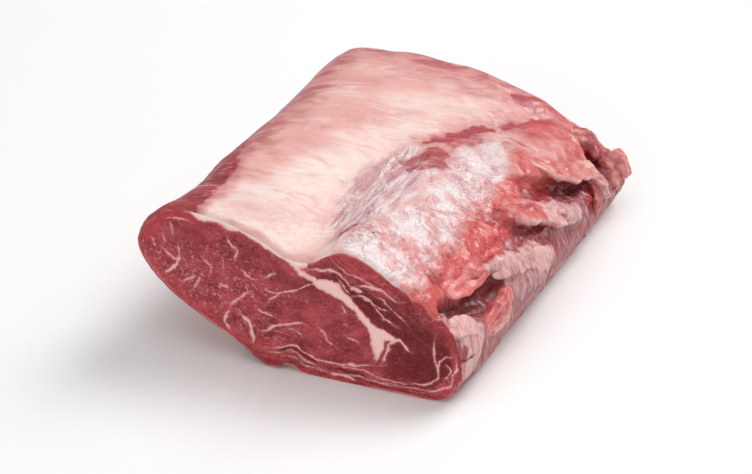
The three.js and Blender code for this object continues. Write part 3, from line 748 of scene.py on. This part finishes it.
    # Painted shade darkens the hollows, and painted highlights make their edges paler
    hollow = painted_on(tree, "hollow")
    opened = trim | wall | salmon
    filmed = (silver | film) - opened
    for where, low, high, share, over in (
        (opened, 0.4, 2.8, 0.36, LEAN_DARK_AND_HOLLOW_SHADE),
        (opened, -1.0, -3.0, 0.22, TENDON_AND_HIGHLIGHT),
        (filmed, 0.2, 0.8, 0.4, SILVER_CREASE_SHADE),
        (filmed, -0.1, -0.5, 0.36, CREAM_BRIGHT_AND_HIGHLIGHT),
    ):
        colour = blend(between(hollow, low, high, 0.0, share) * where, colour, over)

    wet = silver | salmon | trim
    gloss = cloud(tree, (6, 6, 6), 4.0)
    dry, moist = (between(gloss, 0.3, 0.7, *roughness) for roughness in ((0.36, 0.55), (0.14, 0.38)))
    plug(shader, {
        "Base Color": colour, "Roughness": level_of(wet, dry, moist),
        "Normal": put("Bump", {"Height": height, "Strength": 0.7, "Distance": 0.0011})[0],
        "Coat Weight": between(gloss, 0.35, 0.65, 0.5, 0.05) * wet, "Coat Roughness": 0.12,
        "Specular IOR Level": 0.35, "Subsurface Weight": 0.25,
        "Subsurface Radius": (1.0, 0.35, 0.25), "Subsurface Scale": 0.003,
    })
    return material


SKIN = skin_material()


SMOOTHING_ROUNDS = 30  # how far around a point its surroundings reach


def averaged(grid, times):
    """Each point of a closed grid moved towards its neighbours, several times over."""
    for _ in range(times):
        along = np.concatenate([grid[:1], (grid[:-2] + grid[2:]) / 2, grid[-1:]])
        round_it = (np.roll(grid, 1, axis=1) + np.roll(grid, -1, axis=1)) / 2
        grid = (grid + along + round_it) / 3
    return grid


def hollows(grid):
    """How deep each point lies below its surroundings, in mm. Ridges are negative."""
    around = np.roll(grid, -1, axis=1) - np.roll(grid, 1, axis=1)
    along = np.gradient(grid, axis=0)
    out = np.cross(along, around)
    out /= np.linalg.norm(out, axis=2, keepdims=True) + 1e-9
    smooth = averaged(grid, SMOOTHING_ROUNDS)
    return -((grid - smooth) * out).sum(2).ravel()


WRAP_LOW, WRAP_HIGH = 0.07, 0.93  # the strips of the map above and below hold the closed ends
FAR_END_LOW = 0.94
END_SCALE = (0.45, 0.02)
END_WALL_UP = 0.03
BODY_END_DEPTH = 6.5  # the body's own ends lie this far behind the cuts, in mm
SUNK_SHARE = 0.97


def sunk_ring(ring, inward, depth):
    """A ring drawn in a little and moved into the meat. inward is 1 or -1 along the loin."""
    middle = ring.mean(0)
    return middle + SUNK_SHARE * (ring - middle) + np.array([0, inward * depth, 0])


def build_body():
    spans = np.concatenate([span + np.arange(n) / n for span, n in enumerate(SPAN_STEPS)])
    shares, insets = ring_places()
    grid, coverings = skin(spans, shares, insets)
    rings, columns = grid.shape[:2]
    coverings["hollow"] = hollows(grid)
    faces = ring_faces(rings, columns).tolist()
    middle = np.linalg.norm(np.diff(grid[rings // 2], axis=0, append=grid[rings // 2][:1]), axis=1)
    across = np.concatenate([[0], np.cumsum(middle)]) / middle.sum()
    up = WRAP_LOW + (WRAP_HIGH - WRAP_LOW) * (shares - shares[0]) / (shares[-1] - shares[0])
    uvs = list(ring_map(across, up))
    points = grid.reshape(-1, 3)
    widest = np.abs(grid).max()
    rims = np.concatenate([np.arange(columns), np.arange(columns) + (rings - 1) * columns])
    for ring, low, inward in ((0, 0.0, 1), (rings - 1, FAR_END_LOW, -1)):
        rim = np.arange(columns) + ring * columns
        sunk = np.arange(columns) + len(points)
        points = np.concatenate([points, sunk_ring(points[rim], inward, BODY_END_DEPTH)])
        wall = np.stack([sunk, np.roll(sunk, -1), np.roll(rim, -1), rim], -1)[:, ::inward]
        faces += wall.tolist() + [sunk[::-inward].tolist()]
        flat = points[:, [0, 2]] / widest * END_SCALE + (0.5, low)
        uvs += list((flat[wall] + (0, END_WALL_UP)).reshape(-1, 2)) + list(flat[sunk[::-inward]])
        coverings = {name: np.concatenate([values, values[rim]]) for name, values in coverings.items()}
    return add_piece("meat_body", points, faces, uvs, coverings, SKIN, rims)


def declare(piece):
    """Every piece of the scene is part of the one piece of meat."""
    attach(piece, "root")
    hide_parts("ribeye")


declare(build_body())

# Loose flaps and rolls ------------------------------------------------------------------------
# Where the rib meat was pulled away, ends of muscle and fat hang on the trimmed side: a tongue
# by the near cut, rolls at the far end and small tags between. Each is a flattened closed tube
# along a path of places on the skin, rooted in the meat: (width, thickness and droop of the free
# edge in mm, roughness, strengths of salmon, lean and pale, path).
LOBES = [
    (17, 11, 3, 1, (1, 0.2, 0), (0.42, 26.5), (0.3, 21.5), (0.25, 16), (0.2, 10)),  # tongue
    (13, 4, 2, 1, (0.55, 0.4, 0), (0.15, 25), (0, 20), (0, 13)),  # the tongue's lower fold
    (20, 12, 2, 1, (0.6, 0.6, 0), (1.75, 92), (1.3, 94.5), (0.95, 95)),  # far top roll
    (15, 16, 2, 1, (0.75, 0.3, 0.15), (0.86, 98.5), (0.5, 97.5), (0.02, 96)),  # far corner roll
    (13, 11, 1, 1, (0.6, 0.55, 0), (0.9, 94.5), (0.4, 93), (-0.15, 91)),  # far side roll
    (9, 9, 0, 1, (0, 0.5, 0.4), (0.8, 89.5), (0.35, 87.5), (-0.1, 85)),  # strip beside it
    (16, 10, 4, 1, (0.9, 0, 0.3), (1.64, 44), (1.42, 48), (1.18, 52.5)),  # long flap, thick end
    (12, 8, 4, 1, (0.4, 0, 0.75), (1.25, 51), (1.02, 55), (0.78, 59)),  # long flap, thin end
    (17, 8, 2, 1, (0.62, 0, 0.25), (2.05, 66), (1.66, 70), (1.42, 74), (1.24, 77.5)),  # lip of the shelf
    (16, 9, 2, 1, (0.62, 0, 0.2), (1.4, 75.5), (1.2, 80), (1.12, 85)),
    (14, 7, 1, 1, (0.8, 0, 0), (1.65, 90), (1.35, 89), (1.15, 87)),
    (14, 5, 3, 0.7, (0, 0, 1), (0.92, 0), (0.72, 4.5), (0.5, 7.5)),  # near flap
    (12, 4, 3, 1, (0.9, 0, 0), (1.78, 44), (1.6, 49), (1.42, 50)),
    (14, 4, 3, 0.4, (1, 0, 0), (1.4, 8), (1.28, 18), (1.3, 27)),  # lip over the pocket
    (13, 5, 2, 1, (0, 0.7, 0), (0.62, 82), (0.35, 79), (0.1, 75)),
    (13, 4, -3, 0.4, (0.3, 0, 0.8), (1, 24), (0.84, 30), (0.64, 36.5), (0.42, 44)),  # broad flap
]
LOBE_COVERINGS = ("salmon", "lean", "pale")
LOBE_AROUND = 72
LOBE_RING_STEP = 0.7  # mm
LOBE_EDGE_FAT = 0.35  # how much fat lies along a lobe's free edge
LOBE_EDGE = (0.55, 0.95)  # where it starts and is full, as shares of the half width
LOBE_RAGGED = 0.3  # how far the free edge is uneven, as a share of the half width
LOBE_BUMPS = [(2.4, (13, 17, 13), 3, 21), (0.7, (5, 9, 5), 3, 5)]  # (height, widths, octaves, seed)
LOBE_SPOTTY = 0.5  # how much its coverings vary
LOBE_LOOK = 0.05  # share of the path from which its direction is taken, to either side
MAP_MARGIN = 0.02


def lobe_rings(width, thickness, droop, roughness, path):
    """The rings of a lobe as a grid of points, from one closed end to the other."""
    reach = len(path) - 1
    rough = skin_line(path, 20)
    count = int(np.linalg.norm(np.diff(rough, axis=0), axis=1).sum() / LOBE_RING_STEP)
    t = (1 - np.cos(np.linspace(0, math.pi, count + 2)[1:-1])) / 2  # closer together at the ends
    spots = np.clip(np.concatenate([t, t + LOBE_LOOK, t - LOBE_LOOK]), 0, 1)
    span, share = skin_curve(path, spots * reach)
    flat, out = section_point(span, share), section_outward(span, share)
    bare, away = placed(flat, share), turned(out)
    on_skin = bare + relief(bare, away, {name: np.zeros(len(bare)) for name in STROKES})
    middle, ahead = on_skin[:count], on_skin[count:2 * count] - on_skin[2 * count:]
    ahead /= np.linalg.norm(ahead, axis=1, keepdims=True)
    away = away[:count]
    side = np.cross(ahead, away)
    side /= np.linalg.norm(side, axis=1, keepdims=True)
    angle = np.linspace(0, 2 * math.pi, LOBE_AROUND, endpoint=False)
    girth = ((1 - np.abs(2 * t - 1) ** 3) ** 0.5)[:, None]
    ragged = 1 + LOBE_RAGGED * lumps(middle, 16, 2, 31)[:, None]
    free = np.cos(angle) * np.sign(droop or 1) > 0
    across = girth * np.cos(angle) * np.where(free, ragged, 1)
    # the free edge stands off the meat and the other edge is sunk in it
    outer = droop * across - 0.5 * thickness * (1 - np.abs(across))
    lift = 0.5 * thickness * girth * np.sin(angle) + 0.5 * outer
    sideways = 0.5 * width * across
    grid = middle[:, None] + sideways[..., None] * side[:, None] + lift[..., None] * away[:, None]
    flat_grid = grid.reshape(-1, 3)
    outwards = flat_grid - np.repeat(middle, LOBE_AROUND, axis=0)
    outwards /= np.linalg.norm(outwards, axis=1, keepdims=True) + 1e-9
    bumps = roughness * sum(height * lumps(flat_grid, *shape) for height, *shape in LOBE_BUMPS)
    flat_grid = flat_grid + (bumps * np.repeat(girth[:, 0], LOBE_AROUND))[:, None] * outwards
    flat_grid[:, 2] = np.maximum(flat_grid[:, 2], 0)
    edge = smooth_step(*LOBE_EDGE, np.where(free, np.abs(np.cos(angle)), 0))
    return flat_grid.reshape(grid.shape), np.tile(edge, count)


def build_lobes():
    """All lobes as one mesh of closed tubes, whose maps lie side by side."""
    points, faces, uvs, coverings = [], [], [], {name: [] for name in [*STROKES, "hollow"]}
    shelf = 1 / len(LOBES)
    total = 0
    for number, (width, thickness, droop, roughness, strengths, *path) in enumerate(LOBES):
        grid, edge = lobe_rings(width, thickness, droop, roughness, path)
        rings = len(grid)
        ends = np.stack([grid[0].mean(0), grid[-1].mean(0)])
        points += [grid.reshape(-1, 3), ends]
        count = rings * LOBE_AROUND
        faces += (ring_faces(rings, LOBE_AROUND) + total).tolist()
        low = (number + MAP_MARGIN) * shelf
        high = (number + 1 - MAP_MARGIN) * shelf
        reach = MAP_MARGIN + (1 - 2 * MAP_MARGIN) * np.arange(1, rings + 1) / (rings + 1)
        turns = low + (high - low) * np.arange(LOBE_AROUND + 1) / LOBE_AROUND
        uvs += list(ring_map(turns, reach)[:, ::-1])
        for ring, tip, sense in ((0, count, 1), (rings - 1, count + 1, -1)):
            tip_u = MAP_MARGIN if ring == 0 else 1 - MAP_MARGIN
            for i in range(LOBE_AROUND):
                pair = [ring * LOBE_AROUND + i, ring * LOBE_AROUND + (i + 1) % LOBE_AROUND][::-sense]
                v = turns[[i, i + 1][::-sense]]
                faces.append([pair[0] + total, pair[1] + total, tip + total])
                uvs += [(reach[ring], v[0]), (reach[ring], v[1]), (tip_u, v.mean())]
        total += count + 2
        spotty = 1 + LOBE_SPOTTY * lumps(np.concatenate(points[-2:]), 9, 3, 17)
        given = dict(zip(LOBE_COVERINGS, strengths))
        for name in coverings:
            coverings[name].append(given.get(name, 0.0) * spotty)
        coverings["pale"][-1] += LOBE_EDGE_FAT * np.concatenate([edge, [0, 0]])
    coverings = {name: np.concatenate(values) for name, values in coverings.items()}
    return add_piece("loose_flaps", np.concatenate(points), faces, uvs, coverings, SKIN, [])


declare(build_lobes())


# The cut faces ---------------------------------------------------------------------------------
# Two knife cuts across the muscles: the large eye, the cap muscle over it, the tip and the thin
# rib layer underneath. Seams of fat part the muscles and finer ones run into them. Each face is
# a closed lens, whose outline is the first or last ring of the skin. Seams in mm, [across, up].
CUT_BULGE = 2.5  # cut muscle swells a little out of its rim
CUT_STEPS = [56, 66, 72, 66, 84, 68, 64]  # columns in each span over the cut
CUT_ROWS = 168
CUT_ROUNDING = 9  # mm from the rim to where the face is nearly flat
CUT_THICKNESS = 4.5  # mm from the rim to the hidden back of the lens
CUT_RELIEF = [(0.35, 3.2, 4), (0.7, 22, 2)]  # (height, width, octaves)
SEAM_SINKS, SLIT_SINKS = 0.45, 1.8  # mm
BRIGHT_RIM = 3.5  # mm of brighter meat along the rim

# Seams of fat: (width in mm, path). Each tapers to a point at both ends.
SEAMS = [
    (4, (-9, 90), (-4, 83), (4, 76), (14, 71)), (2.2, (54, 35), (60, 42), (64, 41), (70, 33)),
    (2, (56, 38), (54, 30), (50, 20)), (1.1, (14, 71), (0, 68), (-9, 62), (-18, 52), (-23, 45)),
    (1.5, (-26, 12), (-15, 18), (-3, 19), (3, 17), (16, 13), (34, 16), (54, 21)),
    (1.4, (-22, 12), (-8, 14), (1, 12), (9, 8), (18, 4)), (3, (16, 3), (25, 5), (35, 3)),
    (1, (14, 12), (37, 13), (45, 11), (61, 9), (72, 11)),
    (1.2, (84, 52), (83, 37), (86, 24), (84, 17), (75, 12), (62, 9)), (0.9, (97, 36), (88, 34), (85, 22)),
    (0.9, (90, 30), (93, 24), (89, 18)), (1.2, (96, 38), (96, 25), (90, 12), (70, 3)),
    (1.4, (-2, 82), (21, 81), (28, 78), (38, 69)), (3, (31, 73), (40, 71)),
    (1.7, (33, 74), (46, 76), (64, 69)), (1.2, (30, 65), (41, 68), (52, 57), (63, 51)),
    (1, (22, 78), (33, 67)), (0.9, (36, 70), (44, 65), (56, 62)), (0.8, (44, 72), (58, 64), (68, 54)),
    (0.8, (18, 87), (34, 82), (50, 76)), (1.3, (-87, 74), (-79, 67), (-73, 67)),
    (1.3, (-75, 79), (-75, 65)), (2, (-72, 70), (-79, 60), (-86, 51)), (0.8, (-94, 80), (-90, 72)),
    (0.8, (-87, 86), (-83, 77)), (0.8, (-74, 48), (-64, 57)), (0.9, (-67, 44), (-61, 59)),
    (1.8, (-50, 55), (-42, 52)), (1.1, (-43, 92), (-41, 84), (-37, 82), (-40, 73)),
    (1, (-28, 55), (-39, 46), (-45, 36)), (2.1, (-44, 37), (-48, 28), (-46, 16)),
    (2.5, (-40, 36), (-32, 29), (-30, 11)), (1.5, (-25, 25), (-15, 34), (-6, 38), (6, 38)),
    (0.9, (-8, 35), (2, 27)), (0.8, (-22, 67), (-12, 75)), (0.9, (-21, 59), (-12, 59)),
    (0.8, (-27, 42), (-14, 41)), (1, (10, 42), (15, 33), (24, 25)), (0.8, (25, 60), (29, 52)),
    (1, (29, 38), (37, 31)), (0.8, (-60, 72), (-54, 66), (-55, 60)),
    (0.8, (-35, 70), (-30, 64), (-24, 66)), (1, (-12, 10), (5, 6.5), (20, 5)),
    (1, (24, 7), (40, 6), (62, 4)), (0.8, (40, 9), (60, 6), (86, 9)),
    (1, (-86, 95), (-76, 97), (-64, 96)), (0.9, (-80, 93), (-78, 84)),
]
# The broad seam between the eye and the cap, with the kernel at its end, as an outline
BROAD_SEAM = [
    (7, 73), (15, 75), (23, 74), (29, 68), (35, 62), (41, 54), (47, 48), (53, 46), (58, 44), (61, 41),
    (54, 39), (52, 33), (48, 23), (46, 29), (44, 37), (43, 43), (39, 49), (35, 55), (29, 60), (23, 63),
    (16, 65), (10, 68),
]
SEAM_WANDER = 1.3  # mm
SEAM_REACH = 3  # mm past its edge within which a seam's depth counts
SEAM_FULLNESS = 0.42  # half of a seam's mean width, as a share of the width given
SEAM_UNEVEN = 0.6
SEAM_TAPER, SLIT_TAPER = 0.55, 0.5  # share of the half length over which they get thinner
SEAM_TIP = 0.25  # mm by which its tip lies under the meat
OUTER_FAT = (0.5, 3)  # mm over the edge of the fat, where it starts and is full
# Gaps between the muscles, sunk into the face and darkened with painted shade: (width, path)
SLITS = [
    (2.8, (-18, 13), (-5, 15.5), (14, 10)), (1.8, (19, 9.5), (30, 9), (44, 7)),
    (1.2, (-6, 9), (6, 7.5), (14, 5)),
]
# Broad tones, partly the meat's own and partly painted light and shade: (half width, how much brighter,
# or darker below 0, path)
SHADES = [
    (5, 1, (90, 54), (98, 38), (97, 22), (88, 7)), (6, 0.4, (-92, 60), (-78, 42), (-62, 26)),
    (7, 0.8, (-99, 80), (-91, 94), (-76, 101), (-60, 101)), (12, 0.25, (-99, 78), (-92, 58), (-76, 42)),
    (7, 0.4, (-60, 32), (-42, 16)), (7, 0.6, (-26, 16), (-20, 6)), (8, 1, (0, 84), (24, 86), (50, 77)),
    (17, -1.1, (66, 26), (78, 24)), (15, -1.1, (14, 82), (40, 68), (66, 50), (82, 38)),
    (18, -0.3, (-40, 80), (-10, 70)), (6, 0.3, (-10, 9), (30, 6), (60, 5)),
    (14, -0.3, (-84, 74), (-70, 88)),
]
# Where the fibres of the meat show as streaks: (half width, strength, path)
CAP_FIBRES = [(12, 1.2, (8, 85), (26, 81), (44, 70), (62, 56), (80, 38))]
RIB_FIBRES = [(7, 1.2, (-20, 8), (10, 5), (45, 4), (85, 6))]
# Where the meat is marbled: (half width, strength, path)
MARBLED = [
    (16, 1, (-76, 60), (-60, 45), (-45, 50)), (14, 0.8, (-50, 70), (-25, 60)),
    (10, 0.6, (-35, 25), (-10, 30)), (12, 0.5, (-92, 70), (-86, 60)),
]
# Fat covers the eye down to this line
FAT_EDGE = [(-70, 106), (-62, 99), (-50, 97.6), (-34, 93.5), (-18, 87), (-2, 81.5), (4, 83)]


def distance_to(path, points, reach):
    """Distance from a smooth path in the section's plane, where it is less than reach, and how
    near the place is to the path's middle: 1 there and 0 at its ends."""
    count = 4 * len(path)
    line = np.pad(smooth_curve(path, np.linspace(0, len(path) - 1, count)), ((0, 0), (0, 1)))
    offset, _ = nearest_on(line, points, reach)
    distance = np.linalg.norm(offset, axis=1)
    from_start = np.linalg.norm(points - offset - line[0], axis=1)
    from_end = np.linalg.norm(points - offset - line[-1], axis=1)
    return distance, 2 * np.minimum(from_start, from_end) / (from_start + from_end)


def shades_of(strokes, points):
    """The sum of some soft broad strokes."""
    total = np.zeros(len(points))
    for half_width, strength, *path in strokes:
        distance, _ = distance_to(path, points, 3 * half_width)
        total += strength * np.exp(-((distance / half_width) ** 2))
    return total


def inside_of(outline, points):
    """Whether points lie inside a closed outline."""
    x, y = points[:, 0], points[:, 1]
    inside = np.zeros(len(points), bool)
    for (x0, y0), (x1, y1) in zip(outline, np.roll(outline, -1, axis=0)):
        if y0 != y1:
            inside ^= ((y0 > y) != (y1 > y)) & (x < x0 + (y - y0) / (y1 - y0) * (x1 - x0))
    return inside


def paint_cut(flat, seed):
    """Seams, slits, shades, fibres, marbling and outer fat at points of a section's plane. seam
    is the depth inside the fat in mm, negative outside it."""
    points = np.pad(flat, ((0, 0), (0, 1)))
    drift = np.stack([lumps(points, 8, 4, seed + k) for k in (0.0, 5.0)], -1)
    points[:, :2] += SEAM_WANDER * drift
    uneven = lumps(points, 5, 3, seed + 9)
    fat_edge = np.array(FAT_EDGE)
    level = np.interp(points[:, 0], fat_edge[:, 0], fat_edge[:, 1], left=1e3, right=1e3)
    over_edge = points[:, 1] - level
    seams = np.clip(over_edge, -SEAM_REACH, SEAM_REACH)
    for width, *path in SEAMS:
        distance, middle = distance_to(path, points, width + SEAM_REACH)
        taper = smooth_step(0, SEAM_TAPER, middle)
        half = SEAM_FULLNESS * width * taper * (1 + SEAM_UNEVEN * uneven) - SEAM_TIP * (1 - taper)
        seams = np.maximum(seams, half - distance)
    broad = smooth_curve(BROAD_SEAM, np.linspace(0, len(BROAD_SEAM), 4 * len(BROAD_SEAM)), closed=True)
    offset, _ = nearest_on(np.pad(broad, ((0, 0), (0, 1))), points, SEAM_REACH)
    distance = np.linalg.norm(offset, axis=1)
    seams = np.maximum(seams, np.where(inside_of(broad, points), distance, -distance))
    slits = np.zeros(len(points))
    for width, *path in SLITS:
        distance, middle = distance_to(path, points, width)
        slits = np.maximum(slits, smooth_step(0, SLIT_TAPER, middle) - distance / width)
    broad_strokes = {"shade": SHADES, "marble": MARBLED, "cap": CAP_FIBRES, "rib": RIB_FIBRES}
    painted = {name: shades_of(strokes, points) for name, strokes in broad_strokes.items()}
    outer_fat = smooth_step(*OUTER_FAT, over_edge)
    return painted | {"seam": seams, "slit": slits, "outer_fat": outer_fat}


CUT_DARK = (0.23, 0.018, 0.024, 1)
CUT_BRIGHT = (0.49, 0.074, 0.088, 1)
CUT_PINK = (0.55, 0.12, 0.13, 1)
CUT_VIVID_RED = (0.52, 0.040, 0.046, 1)
CUT_SHADE_AND_DARK_GRAIN = (0.12, 0.001, 0.003, 1)
CAP_TILT = math.radians(34)  # the fibres of the cap muscle run down towards the trimmed side
RIB_TILT = math.radians(2)
CUT_FLECK = (0.78, 0.30, 0.30, 1)
SEAM_THIN = (0.88, 0.44, 0.42, 1)
SEAM_BROAD = (0.97, 0.62, 0.58, 1)
CUT_LIT_CREAM = (0.99, 0.80, 0.74, 1)


def cut_material():
    material, tree, shader = new_material("cut meat")
    seam, slit, shade, marble, cap, rib, rim, outer_fat = (
        painted_on(tree, label)
        for label in ("seam", "slit", "shade", "marble", "cap", "rib", "rim", "outer_fat")
    )
    grain = {"Place": stretched(tree, (1.7, 1.2, 1.2)), "Marbling": 0.4}
    tones = {"Dark": CUT_DARK, "Bright": CUT_BRIGHT, "Fat": CUT_FLECK}
    meat, fibres = put("Group", grain | tones, node_tree=MUSCLE)
    # Painted light and shade, with some of the muscles' own tones, from the broad strokes
    colour = blend(between(shade, 0, 1) * 0.6, meat, CUT_VIVID_RED)
    colour = blend(between(shade, 0, -1) * 0.8, colour, CUT_SHADE_AND_DARK_GRAIN)
    for mask, tilt, paleness in ((cap, CAP_TILT, 0.12), (rib, RIB_TILT, 0.9)):
        strands = cloud(tree, (11, 6, 1.1), 4.0, 0.0, tilt, distortion=0.4)
        there = between(mask, 0.1, 0.9, 0.0, 0.8)
        colour = blend(between(strands, 0.5, 0.34) * there, colour, CUT_SHADE_AND_DARK_GRAIN)
        colour = blend(between(strands, 0.52, 0.7) * there * paleness, colour, CUT_PINK)
    colour = blend(rim * 0.35, colour, CUT_VIVID_RED)
    skinned = between(cloud(tree, (18, 18, 18), 4.0), 0.45, 0.6, 0.0, 0.7)
    colour = blend(skinned * between(rim, 0.8, 1), colour, CUT_FLECK)

    # short crooked flecks of marbling
    worm = between(abs(cloud(tree, (4, 4, 4), 4.0, distortion=0.8) - 0.5), 0.005, 0.04, 1.0, 0.0)
    broken = between(cloud(tree, (2.6, 2.6, 2.6), 2.0), 0.5, 0.58)
    crowded = between(marble, 0.0, 0.8, 0.1, 0.9)
    colour = blend(worm * broken * crowded, colour, CUT_FLECK)

    # fine threads of fat that run off the seams
    thread = between(abs(cloud(tree, (13, 13, 10), 4.0, distortion=1.0) - 0.5), 0.0, 0.012, 1.0, 0.0)
    crowd = between(cloud(tree, (30, 30, 30), 2.0), 0.48, 0.62)
    colour = blend(thread * crowd * 0.35, colour, CUT_FLECK)

    frayed = cloud(tree, (1.6, 1.6, 1.6), 4.0)
    edge = seam + (frayed - 0.5) * 1.6
    colour = tinted(colour, (edge, -1.4, 0.2, 0.3, CUT_FLECK))
    fat = tinted(SEAM_THIN, (seam, 0.3, 1.8, 1.0, SEAM_BROAD), (frayed, 0.45, 0.75, 0.35, CUT_FLECK))
    inside = between(edge, -0.35, 0.35)
    # The outer fat is cream, with painted light making it paler than the fat on the skin
    colour = blend(inside, colour, blend(outer_fat, fat, CUT_LIT_CREAM))
    # Painted shade in the gaps between the muscles
    colour = tinted(colour, (slit, 0.1, 0.8, 0.9, CREVICE_SHADE))

    relief_of = fibres + inside * 0.4
    gloss = cloud(tree, (5, 5, 5), 4.0)
    plug(shader, {
        "Base Color": colour, "Roughness": between(gloss, 0.3, 0.7, 0.36, 0.52),
        "Normal": put("Bump", {"Height": relief_of, "Strength": 0.5, "Distance": 0.0008})[0],
        "Specular IOR Level": 0.2, "Subsurface Weight": 0.15,
        "Subsurface Radius": (1.0, 0.3, 0.2), "Subsurface Scale": 0.002,
    })
    return material


CUT_MEAT = cut_material()


FRONT_SHARE = 0.85  # of the height of the map; the hidden wall and back have the rest
WALL_STRIP, BACK_STRIP = 0.87, 0.95
STRIP_SHARE = 0.04


def build_cut(name, share, inset, outward, seed):
    """A closed cut face. outward is -1 where it faces the near end and 1 at the far end."""
    tip = len(CUT_STEPS)
    over = np.concatenate([span + np.arange(n) / n for span, n in enumerate(CUT_STEPS)] + [[tip]])
    columns = len(over)
    ring_spans = np.concatenate([over, SPANS - over[1:-1][::-1]])
    ring = skin(ring_spans, np.array([share]), [inset])[0][0]
    outline = section_point(ring_spans, np.zeros(len(ring_spans)))
    top, low = np.arange(columns), -np.arange(columns)
    down = np.linspace(0, 1, CUT_ROWS + 1)
    t = down[:, None, None]
    points = (ring[top] * (1 - t) + ring[low] * t).reshape(-1, 3)
    flat = (outline[top] * (1 - t) + outline[low] * t).reshape(-1, 2)
    painted = paint_cut(flat, seed)

    texture = sum(height * lumps(points, *shape, seed) for height, *shape in CUT_RELIEF)
    sunk_seams = SEAM_SINKS * smooth_step(-1.4, 0.2, painted["seam"])
    texture -= sunk_seams + SLIT_SINKS * smooth_step(0, 0.9, painted["slit"])
    depth = np.linalg.norm(ring[top] - ring[low], axis=1)
    rim = (np.minimum(down, 1 - down)[:, None] * depth).ravel()
    painted["rim"] = np.exp(-((rim / BRIGHT_RIM) ** 2))
    bulge = CUT_BULGE * (1 - np.exp(-((rim / CUT_ROUNDING) ** 2)))
    points[:, 1] += outward * (bulge + np.minimum(rim / 2, 1) * texture)

    # at the two tips all rows meet in one point, so the faces there are triangles
    number = np.arange(len(points)).reshape(CUT_ROWS + 1, columns)
    number[:, 0] = number[0, 0]
    number[:, -1] = number[0, -1]
    corners = np.stack([number[:-1, :-1], number[1:, :-1], number[1:, 1:], number[:-1, 1:]], -1)
    corners = corners.reshape(-1, 4)[:, ::-outward]
    used, renumbered = np.unique(corners, return_inverse=True)
    faces = [list(dict.fromkeys(face)) for face in renumbered.reshape(-1, 4).tolist()]
    edge = np.concatenate([number[0], number[-1, 1:-1][::-1]])[::outward]
    back = np.searchsorted(used, edge)
    points = points[used]
    low_corner, high_corner = points.min(0), points.max(0)
    square = ((points - low_corner) / (high_corner - low_corner))[:, [0, 2]]
    uvs = [square[i] * (1, FRONT_SHARE) for face in faces for i in face]
    sunk = np.arange(len(back)) + len(points)
    points = np.concatenate([points, sunk_ring(points[back], -outward, CUT_THICKNESS)])
    wall = np.stack([back, np.roll(back, -1), np.roll(sunk, -1), sunk], -1)[:, ::-1]
    faces += wall.tolist() + [sunk.tolist()]
    square = np.concatenate([square, square[back]])
    strip = square * (1, STRIP_SHARE)
    deep_side = np.isin(wall, sunk)[..., None] * (0, STRIP_SHARE / 2)
    uvs += list((strip[wall] + (0, WALL_STRIP) + deep_side).reshape(-1, 2))
    uvs += [strip[i] + (0, BACK_STRIP) for i in sunk]
    attributes = {label: values[used] for label, values in painted.items()}
    attributes = {label: np.concatenate([values, values[back]]) for label, values in attributes.items()}
    return add_piece(name, points, faces, uvs, attributes, CUT_MEAT, back)


declare(build_cut("near_cut", 0.0, NEAR_RIM, -1, 1.0))
declare(build_cut("far_cut", 1.0, FAR_RIM, 1, 40.0))


# The table, the light and the camera --------------------------------------------------------------
# The meat lies on a plain pale table, in the soft light of one large window behind it on the
# right, an even sky and a faint fill from the front.
TABLE_SIZE = 4.0
TABLE_COLOUR = (0.97, 0.97, 0.97, 1)


def build_table():
    half = TABLE_SIZE / 2
    mesh = bpy.data.meshes.new("table")
    corners = [(-half, -half, 0), (half, -half, 0), (half, half, 0), (-half, half, 0)]
    mesh.from_pydata(corners, [], [(0, 1, 2, 3)])
    material, _, shader = new_material("pale table")
    plug(shader, {"Base Color": TABLE_COLOUR, "Roughness": 0.8})
    mesh.materials.append(material)
    table = bpy.data.objects.new("table", mesh)
    bpy.context.scene.collection.objects.link(table)
    return table


build_table()

PHOTO_WIDTH = 752  # pixels
PIXEL_SIZE = 0.595  # mm of the meat that one pixel shows
FOCAL_PIXELS = 3102
VIEW_AZIMUTH, VIEW_ELEVATION = 27.2, 35  # degrees
AIM = Vector((1.6, -32.3, 45)) * MM
LIGHT_DISTANCE = 3.0
SKY_STRENGTH = 0.28


def aim(name, data, azimuth, elevation, distance):
    """Adds a lamp or camera that looks at the meat. In degrees; 0, 0 is level with the table, in
    front of the near cut."""
    turn, rise = math.radians(azimuth), math.radians(elevation)
    level = math.cos(rise)
    away = Vector((math.sin(turn) * level, -math.cos(turn) * level, math.sin(rise)))
    aimed = bpy.data.objects.new(name, data)
    aimed.location = AIM + away * distance
    aimed.rotation_euler = (-away).to_track_quat("-Z", "Y").to_euler()
    bpy.context.scene.collection.objects.link(aimed)
    return aimed


LIGHTS = {  # (azimuth, elevation, size in metres, power in watts)
    "window": (145, 52, 1.6, 54), "sky panel": (30, 80, 3.0, 32), "front fill": (-8, 18, 2.4, 25),
}
for name, (azimuth, elevation, size, power) in LIGHTS.items():
    light = bpy.data.lights.new(name, "AREA")
    light.size = size
    light.energy = power
    aim(name, light, azimuth, elevation, LIGHT_DISTANCE)

world = bpy.data.worlds.new("studio")
world.use_nodes = True
plug(world.node_tree.nodes["Background"], {"Color": (1, 1, 1, 1), "Strength": SKY_STRENGTH})
bpy.context.scene.world = world
bpy.context.scene.view_settings.view_transform = "Standard"

lens = bpy.data.cameras.new("camera")
lens.sensor_width = 36
lens.lens = FOCAL_PIXELS * lens.sensor_width / PHOTO_WIDTH
distance = FOCAL_PIXELS * PIXEL_SIZE * MM
bpy.context.scene.camera = aim("camera", lens, VIEW_AZIMUTH, VIEW_ELEVATION, distance)
